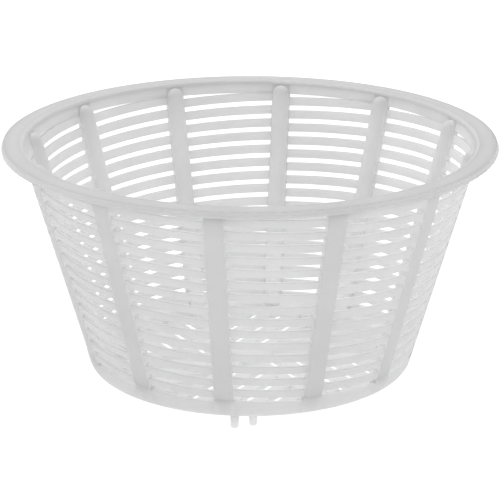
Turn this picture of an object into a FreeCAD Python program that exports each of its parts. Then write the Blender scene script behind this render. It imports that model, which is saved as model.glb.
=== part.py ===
import FreeCAD, Part
import math
import os

# Round, tapered, slotted basket mould for soft cheese. Millimetres, +Z up.
# Origin: centre of the plane that the foot pins stand on. A rib faces -Y.
# The mould is one thin-walled shape. Each node is one of its features, and neighbours share faces.

# Driving dimensions
RIM_DIAMETER = 190.0        # outside, over the rim's turned-down edge
BODY_HEIGHT = 91.0          # underside of the base to the top of the rim
PIN_LENGTH = 6.0            # foot pins below the base
MOUTH_RADIUS = 88.4         # outside of the wall cone where it meets the rim's top plane
BASE_RADIUS = 62.0          # outside of the wall cone where it meets the underside of the base
WALL = 1.8                  # horizontal thickness of ribs, collar and base band
SLAT_RECESS = 0.25          # slats sit this far inside the ribs' outer surface
BAYS = 12                   # bays of slats, with a rib between each two

# Rim
FLANGE_THICKNESS = 1.5
FLANGE_DROOP = 0.4          # the flange's outer edge is this much lower than its inner edge
FLANGE_OVERLAP = 0.45       # the turned-down edge flares this far beyond the flange
SKIRT_DROP = 2.7            # top of the rim to the lowest line of the turned-down edge
SKIRT_THICKNESS = 1.3
MOUTH_ROUNDING = 1.6
EDGE_ROUNDING = 0.45

# Wall
COLLAR_DEPTH = 5.3          # top of the rim to the level top edge of the first slots
FIRST_SLAT_DEPTH = 5.9      # top of the rim to the top of the first slat, in the middle of a bay
SLAT_PITCH = 5.19
SLAT_HEIGHT = 3.2
SLAT_ROWS = 15
SLAT_FALL = 0.048           # each slat falls this much per millimetre, counterclockwise from above
RIB_WIDTH = 7.3
RIDGE_RADIUS = 3.45         # half-round ridge on the inside of each rib
RIB_TOP_DEPTH = 1.9         # top of the rim to the top of a rib's rounded end

# Base
FLOOR_THICKNESS = 2.0
CORNER_OUTER = 5.2
CORNER_INNER = 3.4
FLOOR_RADIUS = 51.0         # the slotted part of the floor
BORDER_RADIUS = 56.5        # the flat part of the floor
HUB_RADIUS = 9.0
SECTORS = 6
SPOKE_PHASE = -112.0        # direction of the first spoke, in degrees
SPOKE_WIDTH = 4.8
FLOOR_SLOT = 3.6
FLOOR_BAR = 5.6

# Foot pins, in pairs a quarter turn apart
PIN_PAIRS = 4
PIN_PLACES = ((56.0, -87.2), (53.2, -80.0))   # radius and direction in degrees, first pair
PIN_TOP_RADIUS = 1.75
PIN_END_RADIUS = 1.45
PIN_ROUNDING = 1.0

# Worked out
BASE_Z = PIN_LENGTH
TOP_Z = BASE_Z + BODY_HEIGHT
FLOOR_Z = BASE_Z + FLOOR_THICKNESS
COLLAR_Z = TOP_Z - COLLAR_DEPTH
FLANGE_Z = TOP_Z - FLANGE_THICKNESS
TAPER = (MOUTH_RADIUS - BASE_RADIUS) / BODY_HEIGHT
BAY_ANGLE = 360.0 / BAYS
SECTOR_ANGLE = 360.0 / SECTORS
RIB_ANGLES = [-90.0 + BAY_ANGLE * i for i in range(BAYS)]
BAY_ANGLES = [angle + BAY_ANGLE / 2 for angle in RIB_ANGLES]
SLAT_TILT = math.degrees(math.atan(SLAT_FALL))
BAND_MIDDLE_Z = TOP_Z - FIRST_SLAT_DEPTH - SLAT_ROWS * SLAT_PITCH
BAND_TOP_Z = BAND_MIDDLE_Z + SLAT_FALL * BASE_RADIUS * math.sin(math.radians(BAY_ANGLE / 2))
REACH = RIM_DIAMETER        # longer than anything that a cutting tool passes through

ORIGIN = FreeCAD.Vector(0, 0, 0)
UP = FreeCAD.Vector(0, 0, 1)
OUTWARD = FreeCAD.Vector(1, 0, 0)


def outer_radius(z):
    """Outside radius of the wall cone at height z."""
    return BASE_RADIUS + TAPER * (z - BASE_Z)


def inner_radius(z):
    return outer_radius(z) - WALL


def rounded_corner(before, corner, after, rounding):
    """Where a corner's rounding starts, its middle and where it ends."""
    back = (before - corner).normalize()
    ahead = (after - corner).normalize()
    half_angle = back.getAngle(ahead) / 2
    cut = rounding / math.tan(half_angle)
    inward = (back + ahead).normalize()
    centre = corner + inward * (rounding / math.sin(half_angle))
    return corner + back * cut, centre - inward * rounding, corner + ahead * cut


def turned(outline):
    """Solid of revolution of a closed outline of (radius, z) corners. A third number rounds a corner."""
    corners = [FreeCAD.Vector(corner[0], 0, corner[1]) for corner in outline]
    pieces = []
    for index, corner in enumerate(outline):
        point = corners[index]
        if len(corner) < 3:
            pieces.append([point])
            continue
        after = corners[(index + 1) % len(corners)]
        pieces.append(rounded_corner(corners[index - 1], point, after, corner[2]))
    edges = []
    for index, piece in enumerate(pieces):
        if len(piece) > 1:
            edges.append(Part.Arc(*piece).toShape())
        edges.append(Part.makeLine(piece[-1], pieces[(index + 1) % len(pieces)][0]))
    return Part.Face(Part.Wire(edges)).revolve(ORIGIN, UP, 360)


def cone_ring(low, high, outside, inside):
    """Ring between two heights whose sides follow the wall's taper, inset from its outer surface."""
    return turned([
        (outer_radius(low) - inside, low), (outer_radius(low) - outside, low),
        (outer_radius(high) - outside, high), (outer_radius(high) - inside, high),
    ])


def spun(shape, angle):
    """Copy of a shape, turned about the vertical axis."""
    copy = shape.copy()
    copy.rotate(ORIGIN, UP, angle)
    return copy


def radial_beam(width, low, high):
    """Box from the axis outward along +X."""
    return Part.makeBox(REACH, width, high - low, FreeCAD.Vector(0, -width / 2, low))


def wedge(angle, low, high):
    """Sector of the given angle, centred on +X."""
    sector = Part.makeCylinder(REACH, high - low, FreeCAD.Vector(0, 0, low), UP, angle)
    return spun(sector, -angle / 2)


def export(name, solids):
    shape = solids[0] if len(solids) == 1 else Part.makeCompound(solids)
    shape.exportStep(f"parts/{name}.step")


# Rim: a flat flange around the mouth, and its turned-down edge

def rim_flange():
    edge_radius = RIM_DIAMETER / 2 - FLANGE_OVERLAP
    return turned([
        (inner_radius(FLANGE_Z), FLANGE_Z), (edge_radius, FLANGE_Z),
        (edge_radius, TOP_Z - FLANGE_DROOP, EDGE_ROUNDING),
        (inner_radius(TOP_Z), TOP_Z, MOUTH_ROUNDING),
    ])


def rim_skirt():
    top_radius = RIM_DIAMETER / 2 - FLANGE_OVERLAP
    low_radius = RIM_DIAMETER / 2
    inside_radius = top_radius - SKIRT_THICKNESS
    low_z = TOP_Z - SKIRT_DROP
    return turned([
        (inside_radius, FLANGE_Z), (inside_radius, low_z, EDGE_ROUNDING),
        (low_radius, low_z, EDGE_ROUNDING), (low_radius, low_z + 1.5 * EDGE_ROUNDING),
        (top_radius, FLANGE_Z),
    ])


# Wall: a solid collar, ribs, and bays of tilted slats between the ribs

def collar():
    return cone_ring(COLLAR_Z, FLANGE_Z, 0, WALL)


def bay_space(low, high):
    """Everything between two neighbouring ribs, for the bay that is centred on +X."""
    space = wedge(BAY_ANGLE, low, high)
    for side in (-1, 1):
        space = space.cut(spun(radial_beam(RIB_WIDTH, low, high), side * BAY_ANGLE / 2))
    return space


def tilted_slab(low, high):
    """Slab across the bay on +X. Its heights are those in the middle of the bay."""
    slab = Part.makeBox(REACH, REACH, high - low, FreeCAD.Vector(0, -REACH / 2, low))
    slab.rotate(FreeCAD.Vector(0, 0, high), OUTWARD, -SLAT_TILT)
    return slab


def slat_rows():
    """Row by row from the top: twelve slats each."""
    ring = cone_ring(BASE_Z, COLLAR_Z, SLAT_RECESS, WALL)
    shell = ring.common(bay_space(BASE_Z, COLLAR_Z))
    for row in range(SLAT_ROWS):
        top = TOP_Z - FIRST_SLAT_DEPTH - SLAT_PITCH * row
        slat = shell.common(tilted_slab(top - SLAT_HEIGHT, top)).Solids[0]
        yield [spun(slat, angle) for angle in BAY_ANGLES]


def rib(base_band):
    """Rib on +X: the wall's own thickness, with a half-round ridge inside that ends in a dome."""
    strip = cone_ring(BAND_TOP_Z, COLLAR_Z, 0, WALL).common(radial_beam(RIB_WIDTH, BAND_TOP_Z, COLLAR_Z))
    dome_z = TOP_Z - RIB_TOP_DEPTH - RIDGE_RADIUS
    start = FreeCAD.Vector(inner_radius(BASE_Z), 0, BASE_Z)
    end = FreeCAD.Vector(inner_radius(dome_z), 0, dome_z)
    ridge = Part.makeCylinder(RIDGE_RADIUS, (end - start).Length, start, end - start)
    ridge = ridge.fuse(Part.makeSphere(RIDGE_RADIUS, end, OUTWARD))
    cavity = turned([
        (0, FLOOR_Z), (inner_radius(FLOOR_Z), FLOOR_Z), (inner_radius(TOP_Z), TOP_Z), (0, TOP_Z),
    ])
    ridge = ridge.common(cavity).cut(base_band)
    return strip.fuse(ridge).removeSplitter().Solids[0]


# Base: a rounded corner band, and a slotted floor of pinwheel sectors

def base_band():
    """Solid band under the last slots, and its rounded corner."""
    band = turned([
        (BORDER_RADIUS, BASE_Z), (BASE_RADIUS, BASE_Z, CORNER_OUTER),
        (outer_radius(BAND_TOP_Z), BAND_TOP_Z), (inner_radius(BAND_TOP_Z), BAND_TOP_Z),
        (inner_radius(FLOOR_Z), FLOOR_Z, CORNER_INNER), (BORDER_RADIUS, FLOOR_Z),
    ])
    above_band = tilted_slab(BAND_MIDDLE_Z, BAND_MIDDLE_Z + SLAT_PITCH)
    above_band = above_band.common(bay_space(BASE_Z, COLLAR_Z))
    return band.cut([spun(above_band, angle) for angle in BAY_ANGLES])


def floor_border():
    """Flat ring between the slotted part of the floor and the corner."""
    return turned([
        (FLOOR_RADIUS, BASE_Z), (BORDER_RADIUS, BASE_Z), (BORDER_RADIUS, FLOOR_Z), (FLOOR_RADIUS, FLOOR_Z),
    ])


def floor_hub():
    return Part.makeCylinder(HUB_RADIUS, FLOOR_THICKNESS, FreeCAD.Vector(0, 0, BASE_Z))


def floor_ring():
    """The floor between hub and band, before it is divided."""
    disc = Part.makeCylinder(FLOOR_RADIUS, FLOOR_THICKNESS, FreeCAD.Vector(0, 0, BASE_Z))
    return disc.cut(floor_hub())


def floor_spokes():
    spoke = floor_ring().common(radial_beam(SPOKE_WIDTH, BASE_Z, FLOOR_Z))
    return [spun(spoke, SPOKE_PHASE + SECTOR_ANGLE * i) for i in range(SECTORS)]


def sector_bars():
    """Bars of the sector that starts at a spoke on +X. All lie parallel to that spoke."""
    plate = floor_ring().common(spun(wedge(SECTOR_ANGLE, BASE_Z, FLOOR_Z), SECTOR_ANGLE / 2))
    for side in (0, SECTOR_ANGLE):
        plate = plate.cut(spun(radial_beam(SPOKE_WIDTH, BASE_Z, FLOOR_Z), side))
    pitch = FLOOR_BAR + FLOOR_SLOT
    far_corner = FLOOR_RADIUS * math.sin(math.radians(SECTOR_ANGLE))
    bars = []
    for index in range(int((far_corner - SPOKE_WIDTH / 2) / pitch)):
        near = SPOKE_WIDTH / 2 + FLOOR_SLOT + pitch * index
        strip = Part.makeBox(REACH, FLOOR_BAR, FLOOR_THICKNESS, FreeCAD.Vector(0, near, BASE_Z))
        bars.extend(plate.common(strip).Solids)
    return bars


def foot_pin(radius, angle):
    """Tapered pin under the base with a rounded end and a small flat to stand on."""
    pin = turned([(0, 0), (PIN_END_RADIUS, 0, PIN_ROUNDING), (PIN_TOP_RADIUS, PIN_LENGTH), (0, PIN_LENGTH)])
    pin.translate(FreeCAD.Vector(radius, 0, 0))
    return spun(pin, angle)


def main():
    os.makedirs("parts", exist_ok=True)
    export("rim_flange", [rim_flange()])
    export("rim_skirt", [rim_skirt()])
    export("collar", [collar()])
    for number, slats in enumerate(slat_rows(), 1):
        export(f"slat_row_{number:02d}", slats)
    band = base_band()
    export("base_band", [band])
    first_rib = rib(band)
    for number, angle in enumerate(RIB_ANGLES, 1):
        export(f"rib_{number:02d}", [spun(first_rib, angle)])
    export("floor_border", [floor_border()])
    export("floor_hub", [floor_hub()])
    export("floor_spokes", floor_spokes())
    bars = sector_bars()
    for number in range(SECTORS):
        angle = SPOKE_PHASE + SECTOR_ANGLE * number
        export(f"floor_bars_{number + 1}", [spun(bar, angle) for bar in bars])
    for number in range(PIN_PAIRS):
        turn = 360.0 / PIN_PAIRS * number
        export(f"foot_pins_{number + 1}", [foot_pin(radius, angle + turn) for radius, angle in PIN_PLACES])


main()
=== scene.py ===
import math

import bmesh
import bpy
from mathutils import Matrix, Vector


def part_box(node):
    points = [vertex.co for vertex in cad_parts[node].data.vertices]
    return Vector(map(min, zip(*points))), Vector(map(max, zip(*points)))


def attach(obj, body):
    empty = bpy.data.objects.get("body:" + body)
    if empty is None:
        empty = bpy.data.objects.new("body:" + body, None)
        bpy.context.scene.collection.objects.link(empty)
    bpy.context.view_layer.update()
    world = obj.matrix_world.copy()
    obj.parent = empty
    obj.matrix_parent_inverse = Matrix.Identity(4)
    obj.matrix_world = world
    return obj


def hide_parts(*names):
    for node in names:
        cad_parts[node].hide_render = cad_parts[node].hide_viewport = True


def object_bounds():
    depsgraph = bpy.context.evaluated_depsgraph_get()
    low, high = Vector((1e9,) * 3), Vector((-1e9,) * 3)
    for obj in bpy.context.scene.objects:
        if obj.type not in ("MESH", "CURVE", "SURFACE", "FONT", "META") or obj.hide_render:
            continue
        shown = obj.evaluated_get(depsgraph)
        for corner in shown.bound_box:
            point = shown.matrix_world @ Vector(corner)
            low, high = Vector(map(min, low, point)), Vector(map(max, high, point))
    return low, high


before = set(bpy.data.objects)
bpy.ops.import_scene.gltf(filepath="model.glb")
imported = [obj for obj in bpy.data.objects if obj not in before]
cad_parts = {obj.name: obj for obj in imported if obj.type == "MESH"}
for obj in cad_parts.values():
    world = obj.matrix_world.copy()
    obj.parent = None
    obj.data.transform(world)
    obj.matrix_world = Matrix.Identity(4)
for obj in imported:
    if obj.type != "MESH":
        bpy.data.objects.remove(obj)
PACKED_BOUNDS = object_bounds()

# Camera, in metres and degrees, round the basket's axis
CAMERA_AZIMUTH = 8.7
CAMERA_DISTANCE = 0.9528        # level distance from the basket's axis
CAMERA_ABOVE_RIM = 0.2730
CAMERA_PITCH = 18.48
CAMERA_LENS = 186.2
SENSOR_WIDTH = 36.0

# Light: a soft white room, brighter behind the basket, and a table top that glows a little
ROOM_FRONT = 0.6
ROOM_BACK = 1.05
SOFTBOX_POWER = 6.0
SOFTBOX_SIZE = 1.2
SOFTBOX_PLACE = Vector((-0.4, 0.3, 1.3))
TABLE_TONE = 0.4
TABLE_GLOW = 0.8
TABLE_SIZE = 8.0

# The ribs, from the frame
RIBS = sum(name.startswith("rib_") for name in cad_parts)
RIB_HALF_WIDTH = (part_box("rib_01")[1].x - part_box("rib_01")[0].x) / 2
RIB_BLUR = 0.00045

# Plastic
CLOUD_SCALE = 45.0              # faint flow clouding
CLOUD_RANGE = (0.3, 0.7)        # noise values between which it goes from least to most
CLOUD_DEPTH = 0.015
GRAIN_SCALE = 1800.0            # satin skin
GRAIN_HEIGHT = 0.00004
GRAIN_STRENGTH = 0.12
ROUGHNESS = (0.38, 0.5)
PLASTIC_IOR = 1.49
GLOSS = 0.35

# Where a face's painted light and shade and its painted glow change: how far it looks away from the axis, 1
# outwards and -1 inwards
INNER_TO_LEVEL = (-0.35, 0.05)
LEVEL_TO_OUTER = (0.2, 0.8)
GLOW_TO_NONE = (-0.6, -0.2)

# Heights between which the painted glow on inner faces fades out
GLOW_FULL_Z = PACKED_BOUNDS[0].z + 0.010
GLOW_NONE_Z = PACKED_BOUNDS[0].z + 0.042

# Rounding of moulded edges
SLAT_ROUNDING = 0.0003
RIB_ROUNDING = 0.00022
FLOOR_ROUNDING = 0.0003
SINK = 0.00015                  # how far a rounded piece's ends reach into its neighbours
ROUNDING_STEPS = 3
SHARP = math.radians(40)
FLAT = math.radians(0.4)
WELD = 1e-6

# Cosines that tell the end faces of a piece from its sides
SLAT_END = 0.9
RIB_END = 0.9
SPOKE_END = 0.7
BAR_END = 0.05
UPRIGHT = 0.5


def material(name):
    """A new node material, with its node tree emptied down to the output."""
    made = bpy.data.materials.new(name)
    made.use_nodes = True
    tree = made.node_tree
    tree.nodes.clear()
    output = tree.nodes.new("ShaderNodeOutputMaterial")
    return made, tree, output


def put(tree, node, key, value):
    """Set one input socket. A value that is a socket is linked."""
    if isinstance(value, bpy.types.NodeSocket):
        tree.links.new(value, node.inputs[key])
    else:
        node.inputs[key].default_value = value


def add(tree, kind, **inputs):
    """A node with its named inputs set."""
    node = tree.nodes.new(kind)
    for name, value in inputs.items():
        put(tree, node, name.replace("_", " "), value)
    return node


def maths(tree, operation, *values):
    """The result of a math node."""
    node = tree.nodes.new("ShaderNodeMath")
    node.operation = operation
    for index, value in enumerate(values):
        put(tree, node, index, value)
    return node.outputs[0]


def ramp(tree, value, start, end, low, high):
    """Value mapped smoothly from start..end to low..high."""
    node = add(tree, "ShaderNodeMapRange", Value=value, From_Min=start, From_Max=end, To_Min=low, To_Max=high)
    node.interpolation_type = "SMOOTHSTEP"
    return node.outputs[0]


def grey(value):
    return (value, value, value, 1.0)


def rib_shadow(tree, place):
    """Mask for painted shade in line with the ribs: one in line with a rib, zero between the ribs."""
    x, y, _ = add(tree, "ShaderNodeSeparateXYZ", Vector=place).outputs
    angle = maths(tree, "ARCTAN2", x, maths(tree, "MULTIPLY", y, -1.0))
    share = maths(tree, "MULTIPLY", angle, RIBS / math.tau)
    turn = maths(tree, "ABSOLUTE", maths(tree, "SUBTRACT", share, maths(tree, "ROUND", share)))
    squares = maths(tree, "ADD", maths(tree, "MULTIPLY", x, x), maths(tree, "MULTIPLY", y, y))
    radius = maths(tree, "SQRT", squares)
    offset = maths(tree, "MULTIPLY", maths(tree, "MULTIPLY", turn, math.tau / RIBS), radius)
    return ramp(tree, offset, RIB_HALF_WIDTH - RIB_BLUR, RIB_HALF_WIDTH + RIB_BLUR, 1.0, 0.0)


def facing(tree, place):
    """How far a face looks away from the basket's axis: 1 outwards, 0 up or down, -1 inwards."""
    level = add(tree, "ShaderNodeVectorMath", Vector=place)
    level.operation = "MULTIPLY"
    put(tree, level, 1, (1, 1, 0))
    away = add(tree, "ShaderNodeVectorMath", Vector=level.outputs[0])
    away.operation = "NORMALIZE"
    along = add(tree, "ShaderNodeVectorMath", Vector=away.outputs[0])
    along.operation = "DOT_PRODUCT"
    put(tree, along, 1, tree.nodes.new("ShaderNodeNewGeometry").outputs["True Normal"])
    return along.outputs["Value"]


def moulded_plastic(name, outer, level, inner, through, glow=0.0, rib_shade=0.0):
    """White plastic that lets some light through, with faint flow clouding and a satin skin.

    outer, level and inner are the tones of faces that look outwards, up or down, and inwards, which paint
    light and shade by the way a face looks. glow is a painted glow on inner faces near the floor. rib_shade
    is painted shade, how much darker the piece is in line with the ribs, and painted light, lighter, if
    negative.
    """
    made, tree, output = material(name)
    place = tree.nodes.new("ShaderNodeTexCoord").outputs["Object"]
    clouds = add(tree, "ShaderNodeTexNoise", Vector=place, Scale=CLOUD_SCALE, Detail=3.0, Roughness=0.55)
    cloud = ramp(tree, clouds.outputs["Fac"], *CLOUD_RANGE, 1.0 - CLOUD_DEPTH, 1.0 + CLOUD_DEPTH)
    look = facing(tree, place)
    # Painted light and shade: the tone is set by which way the face looks
    painted_side_light = maths(tree, "ADD", ramp(tree, look, *INNER_TO_LEVEL, inner, level),
                 ramp(tree, look, *LEVEL_TO_OUTER, 0.0, outer - level))
    # Painted shade in line with the ribs, or painted light where rib_shade is negative
    painted_rib_shade = maths(tree, "MULTIPLY", rib_shadow(tree, place), rib_shade)
    tone = maths(tree, "MULTIPLY", cloud, painted_side_light)
    shade = maths(tree, "MULTIPLY", tone, maths(tree, "SUBTRACT", 1.0, painted_rib_shade))
    colour = add(tree, "ShaderNodeCombineColor", Red=shade, Green=shade, Blue=shade).outputs[0]
    grain = add(tree, "ShaderNodeTexNoise", Vector=place, Scale=GRAIN_SCALE, Detail=2.0)
    rough = ramp(tree, clouds.outputs["Fac"], *CLOUD_RANGE, *ROUGHNESS)
    bump = add(tree, "ShaderNodeBump", Strength=GRAIN_STRENGTH, Distance=GRAIN_HEIGHT,
               Height=grain.outputs["Fac"])
    skin = add(tree, "ShaderNodeBsdfPrincipled", Base_Color=colour, Roughness=rough, IOR=PLASTIC_IOR,
               Specular_IOR_Level=GLOSS, Normal=bump.outputs["Normal"])
    # Painted glow: emission on faces that look inwards, near the floor, fading out upwards
    height = add(tree, "ShaderNodeSeparateXYZ", Vector=place).outputs["Z"]
    painted_glow = maths(tree, "MULTIPLY", ramp(tree, height, GLOW_FULL_Z, GLOW_NONE_Z, glow, 0.0),
                    ramp(tree, look, *GLOW_TO_NONE, 1.0, 0.0))
    put(tree, skin, "Emission Color", colour)
    put(tree, skin, "Emission Strength", painted_glow)
    light_through = add(tree, "ShaderNodeBsdfTranslucent", Color=colour, Normal=bump.outputs["Normal"])
    mix = add(tree, "ShaderNodeMixShader")
    put(tree, mix, 0, through)
    put(tree, mix, 1, skin.outputs[0])
    put(tree, mix, 2, light_through.outputs[0])
    tree.links.new(mix.outputs[0], output.inputs["Surface"])
    return made


def table_material():
    """A pale table top that is softly lit from below."""
    made, tree, output = material("pale_table")
    top = add(tree, "ShaderNodeBsdfDiffuse", Color=grey(TABLE_TONE))
    glow = add(tree, "ShaderNodeEmission", Color=grey(1.0), Strength=TABLE_GLOW)
    both = tree.nodes.new("ShaderNodeAddShader")
    tree.links.new(top.outputs[0], both.inputs[0])
    tree.links.new(glow.outputs[0], both.inputs[1])
    tree.links.new(both.outputs[0], output.inputs["Surface"])
    return made


# Tones of outer, level and inner faces, which paint light and shade, and the share of light let through
FINISHES = {
    "rim_flange": moulded_plastic("flange_plastic", 0.93, 0.755, 0.96, 0.40),
    "rim_skirt": moulded_plastic("skirt_plastic", 0.90, 0.90, 0.94, 0.50),
    # The collar gets painted shade in line with the ribs, the base painted light there
    "collar": moulded_plastic("collar_plastic", 0.89, 0.89, 0.92, 0.55, rib_shade=0.12),
    "rib": moulded_plastic("rib_plastic", 0.76, 0.95, 0.885, 0.50, glow=0.3),
    "slat": moulded_plastic("slat_plastic", 0.82, 0.87, 0.905, 0.50),
    "base": moulded_plastic("base_plastic", 0.81, 0.86, 0.92, 0.45, rib_shade=-0.05),
    "floor": moulded_plastic("floor_plastic", 0.86, 0.86, 0.90, 0.50),
    "foot": moulded_plastic("pin_plastic", 0.95, 0.95, 0.95, 0.50),
}


def finish_of(name):
    """The finish of a node, by the start of its name."""
    return next(made for start, made in FINISHES.items() if name.startswith(start))


def paint_nodes():
    """Every CAD node gets the finish of its feature."""
    for name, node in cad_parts.items():
        node.data.materials.clear()
        node.data.materials.append(finish_of(name))
        for face in node.data.polygons:
            face.material_index = 0


# Rounded pieces: copies of CAD nodes with their free edges rounded as a mould leaves them

def outward(face):
    """The level direction from the basket's axis to a face."""
    centre = face.calc_center_median()
    return Vector((centre.x, centre.y, 0)).normalized()


def slat_ends(mesh):
    """Faces that look along the ring."""
    up = Vector((0, 0, 1))
    return [face for face in mesh.faces if abs(face.normal.dot(up.cross(outward(face)))) > SLAT_END]


def rib_ends(mesh):
    """Faces that look up or down."""
    return [face for face in mesh.faces if abs(face.normal.z) > RIB_END]


def spoke_ends(mesh):
    """Faces that look towards or away from the basket's axis."""
    return [face for face in mesh.faces if abs(face.normal.dot(outward(face))) > SPOKE_END]


def bar_ends(mesh):
    """Upright faces that don't lie along the bars, which are all parallel."""
    longest = max(mesh.edges, key=lambda edge: edge.calc_length())
    along = (longest.verts[1].co - longest.verts[0].co).normalized()
    return [face for face in mesh.faces
            if abs(face.normal.z) < UPRIGHT and abs(face.normal.dot(along)) > BAR_END]


def clean_copy(node):
    """A bmesh of a CAD node, welded and with flat faces in one piece."""
    mesh = bmesh.new()
    points = [mesh.verts.new(vertex.co) for vertex in node.data.vertices]
    for polygon in node.data.polygons:
        mesh.faces.new([points[index] for index in polygon.vertices])
    bmesh.ops.remove_doubles(mesh, verts=mesh.verts, dist=WELD)
    bmesh.ops.dissolve_limit(mesh, angle_limit=FLAT, verts=mesh.verts, edges=mesh.edges)
    return mesh


def rounded(name, rounding, find_ends, sink):
    """A piece that stands for a CAD node: free edges rounded, ends sunk into the neighbours."""
    mesh = clean_copy(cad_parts[name])
    ends = find_ends(mesh)
    free = [edge for edge in mesh.edges if edge.is_convex and edge.calc_face_angle(0) > SHARP
            and not any(face in ends for face in edge.link_faces)]
    moves = {}
    for face in ends:
        for vertex in face.verts:
            moves[vertex] = face.normal * sink
    for vertex, move in moves.items():
        vertex.co += move
    bmesh.ops.bevel(mesh, geom=free, offset=rounding, offset_type="OFFSET", segments=ROUNDING_STEPS,
                    profile=0.5, affect="EDGES", clamp_overlap=True)
    for face in mesh.faces:
        face.smooth = True
    data = bpy.data.meshes.new(name + "_moulded")
    mesh.to_mesh(data)
    mesh.free()
    data.set_sharp_from_angle(angle=SHARP)
    piece = bpy.data.objects.new(name + "_moulded", data)
    bpy.context.scene.collection.objects.link(piece)
    data.materials.append(finish_of(name))
    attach(piece, "root")
    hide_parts(name)


def make_rounded_pieces():
    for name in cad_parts:
        if name.startswith("slat"):
            rounded(name, SLAT_ROUNDING, slat_ends, SINK)
        elif name.startswith("rib"):
            rounded(name, RIB_ROUNDING, rib_ends, 0)
        elif name.startswith("floor_bars"):
            rounded(name, FLOOR_ROUNDING, bar_ends, SINK)
        elif name == "floor_spokes":
            rounded(name, FLOOR_ROUNDING, spoke_ends, SINK)


def make_table():
    mesh = bpy.data.meshes.new("table")
    half = TABLE_SIZE / 2
    z = PACKED_BOUNDS[0].z
    corners = [(-half, -half, z), (half, -half, z), (half, half, z), (-half, half, z)]
    mesh.from_pydata(corners, [], [(0, 1, 2, 3)])
    mesh.materials.append(table_material())
    table = bpy.data.objects.new("table", mesh)
    bpy.context.scene.collection.objects.link(table)


def make_light():
    world = bpy.data.worlds.new("soft_room")
    world.use_nodes = True
    tree = world.node_tree
    direction = tree.nodes.new("ShaderNodeTexCoord").outputs["Generated"]
    ahead = add(tree, "ShaderNodeSeparateXYZ", Vector=direction).outputs["Y"]
    background = tree.nodes["Background"]
    put(tree, background, "Color", grey(1.0))
    put(tree, background, "Strength", ramp(tree, ahead, -1.0, 1.0, ROOM_FRONT, ROOM_BACK))
    bpy.context.scene.world = world
    lamp = bpy.data.lights.new("softbox", "AREA")
    lamp.shape = "SQUARE"
    lamp.size = SOFTBOX_SIZE
    lamp.energy = SOFTBOX_POWER
    softbox = bpy.data.objects.new("softbox", lamp)
    softbox.location = SOFTBOX_PLACE
    basket_middle = (PACKED_BOUNDS[0] + PACKED_BOUNDS[1]) / 2
    softbox.rotation_euler = (basket_middle - SOFTBOX_PLACE).to_track_quat("-Z", "Y").to_euler()
    bpy.context.scene.collection.objects.link(softbox)


def make_camera():
    data = bpy.data.cameras.new("camera")
    data.lens = CAMERA_LENS
    data.sensor_width = SENSOR_WIDTH
    data.clip_start = 0.05
    camera = bpy.data.objects.new("camera", data)
    rim_z = PACKED_BOUNDS[1].z
    around = Matrix.Rotation(math.radians(CAMERA_AZIMUTH), 4, "Z")
    place = Matrix.Translation((0, -CAMERA_DISTANCE, rim_z + CAMERA_ABOVE_RIM))
    tilt = Matrix.Rotation(math.radians(90 - CAMERA_PITCH), 4, "X")
    camera.matrix_world = around @ place @ tilt
    bpy.context.scene.collection.objects.link(camera)
    bpy.context.scene.camera = camera


paint_nodes()
make_rounded_pieces()
make_table()
make_light()
make_camera()
bpy.context.scene.view_settings.view_transform = "Standard"
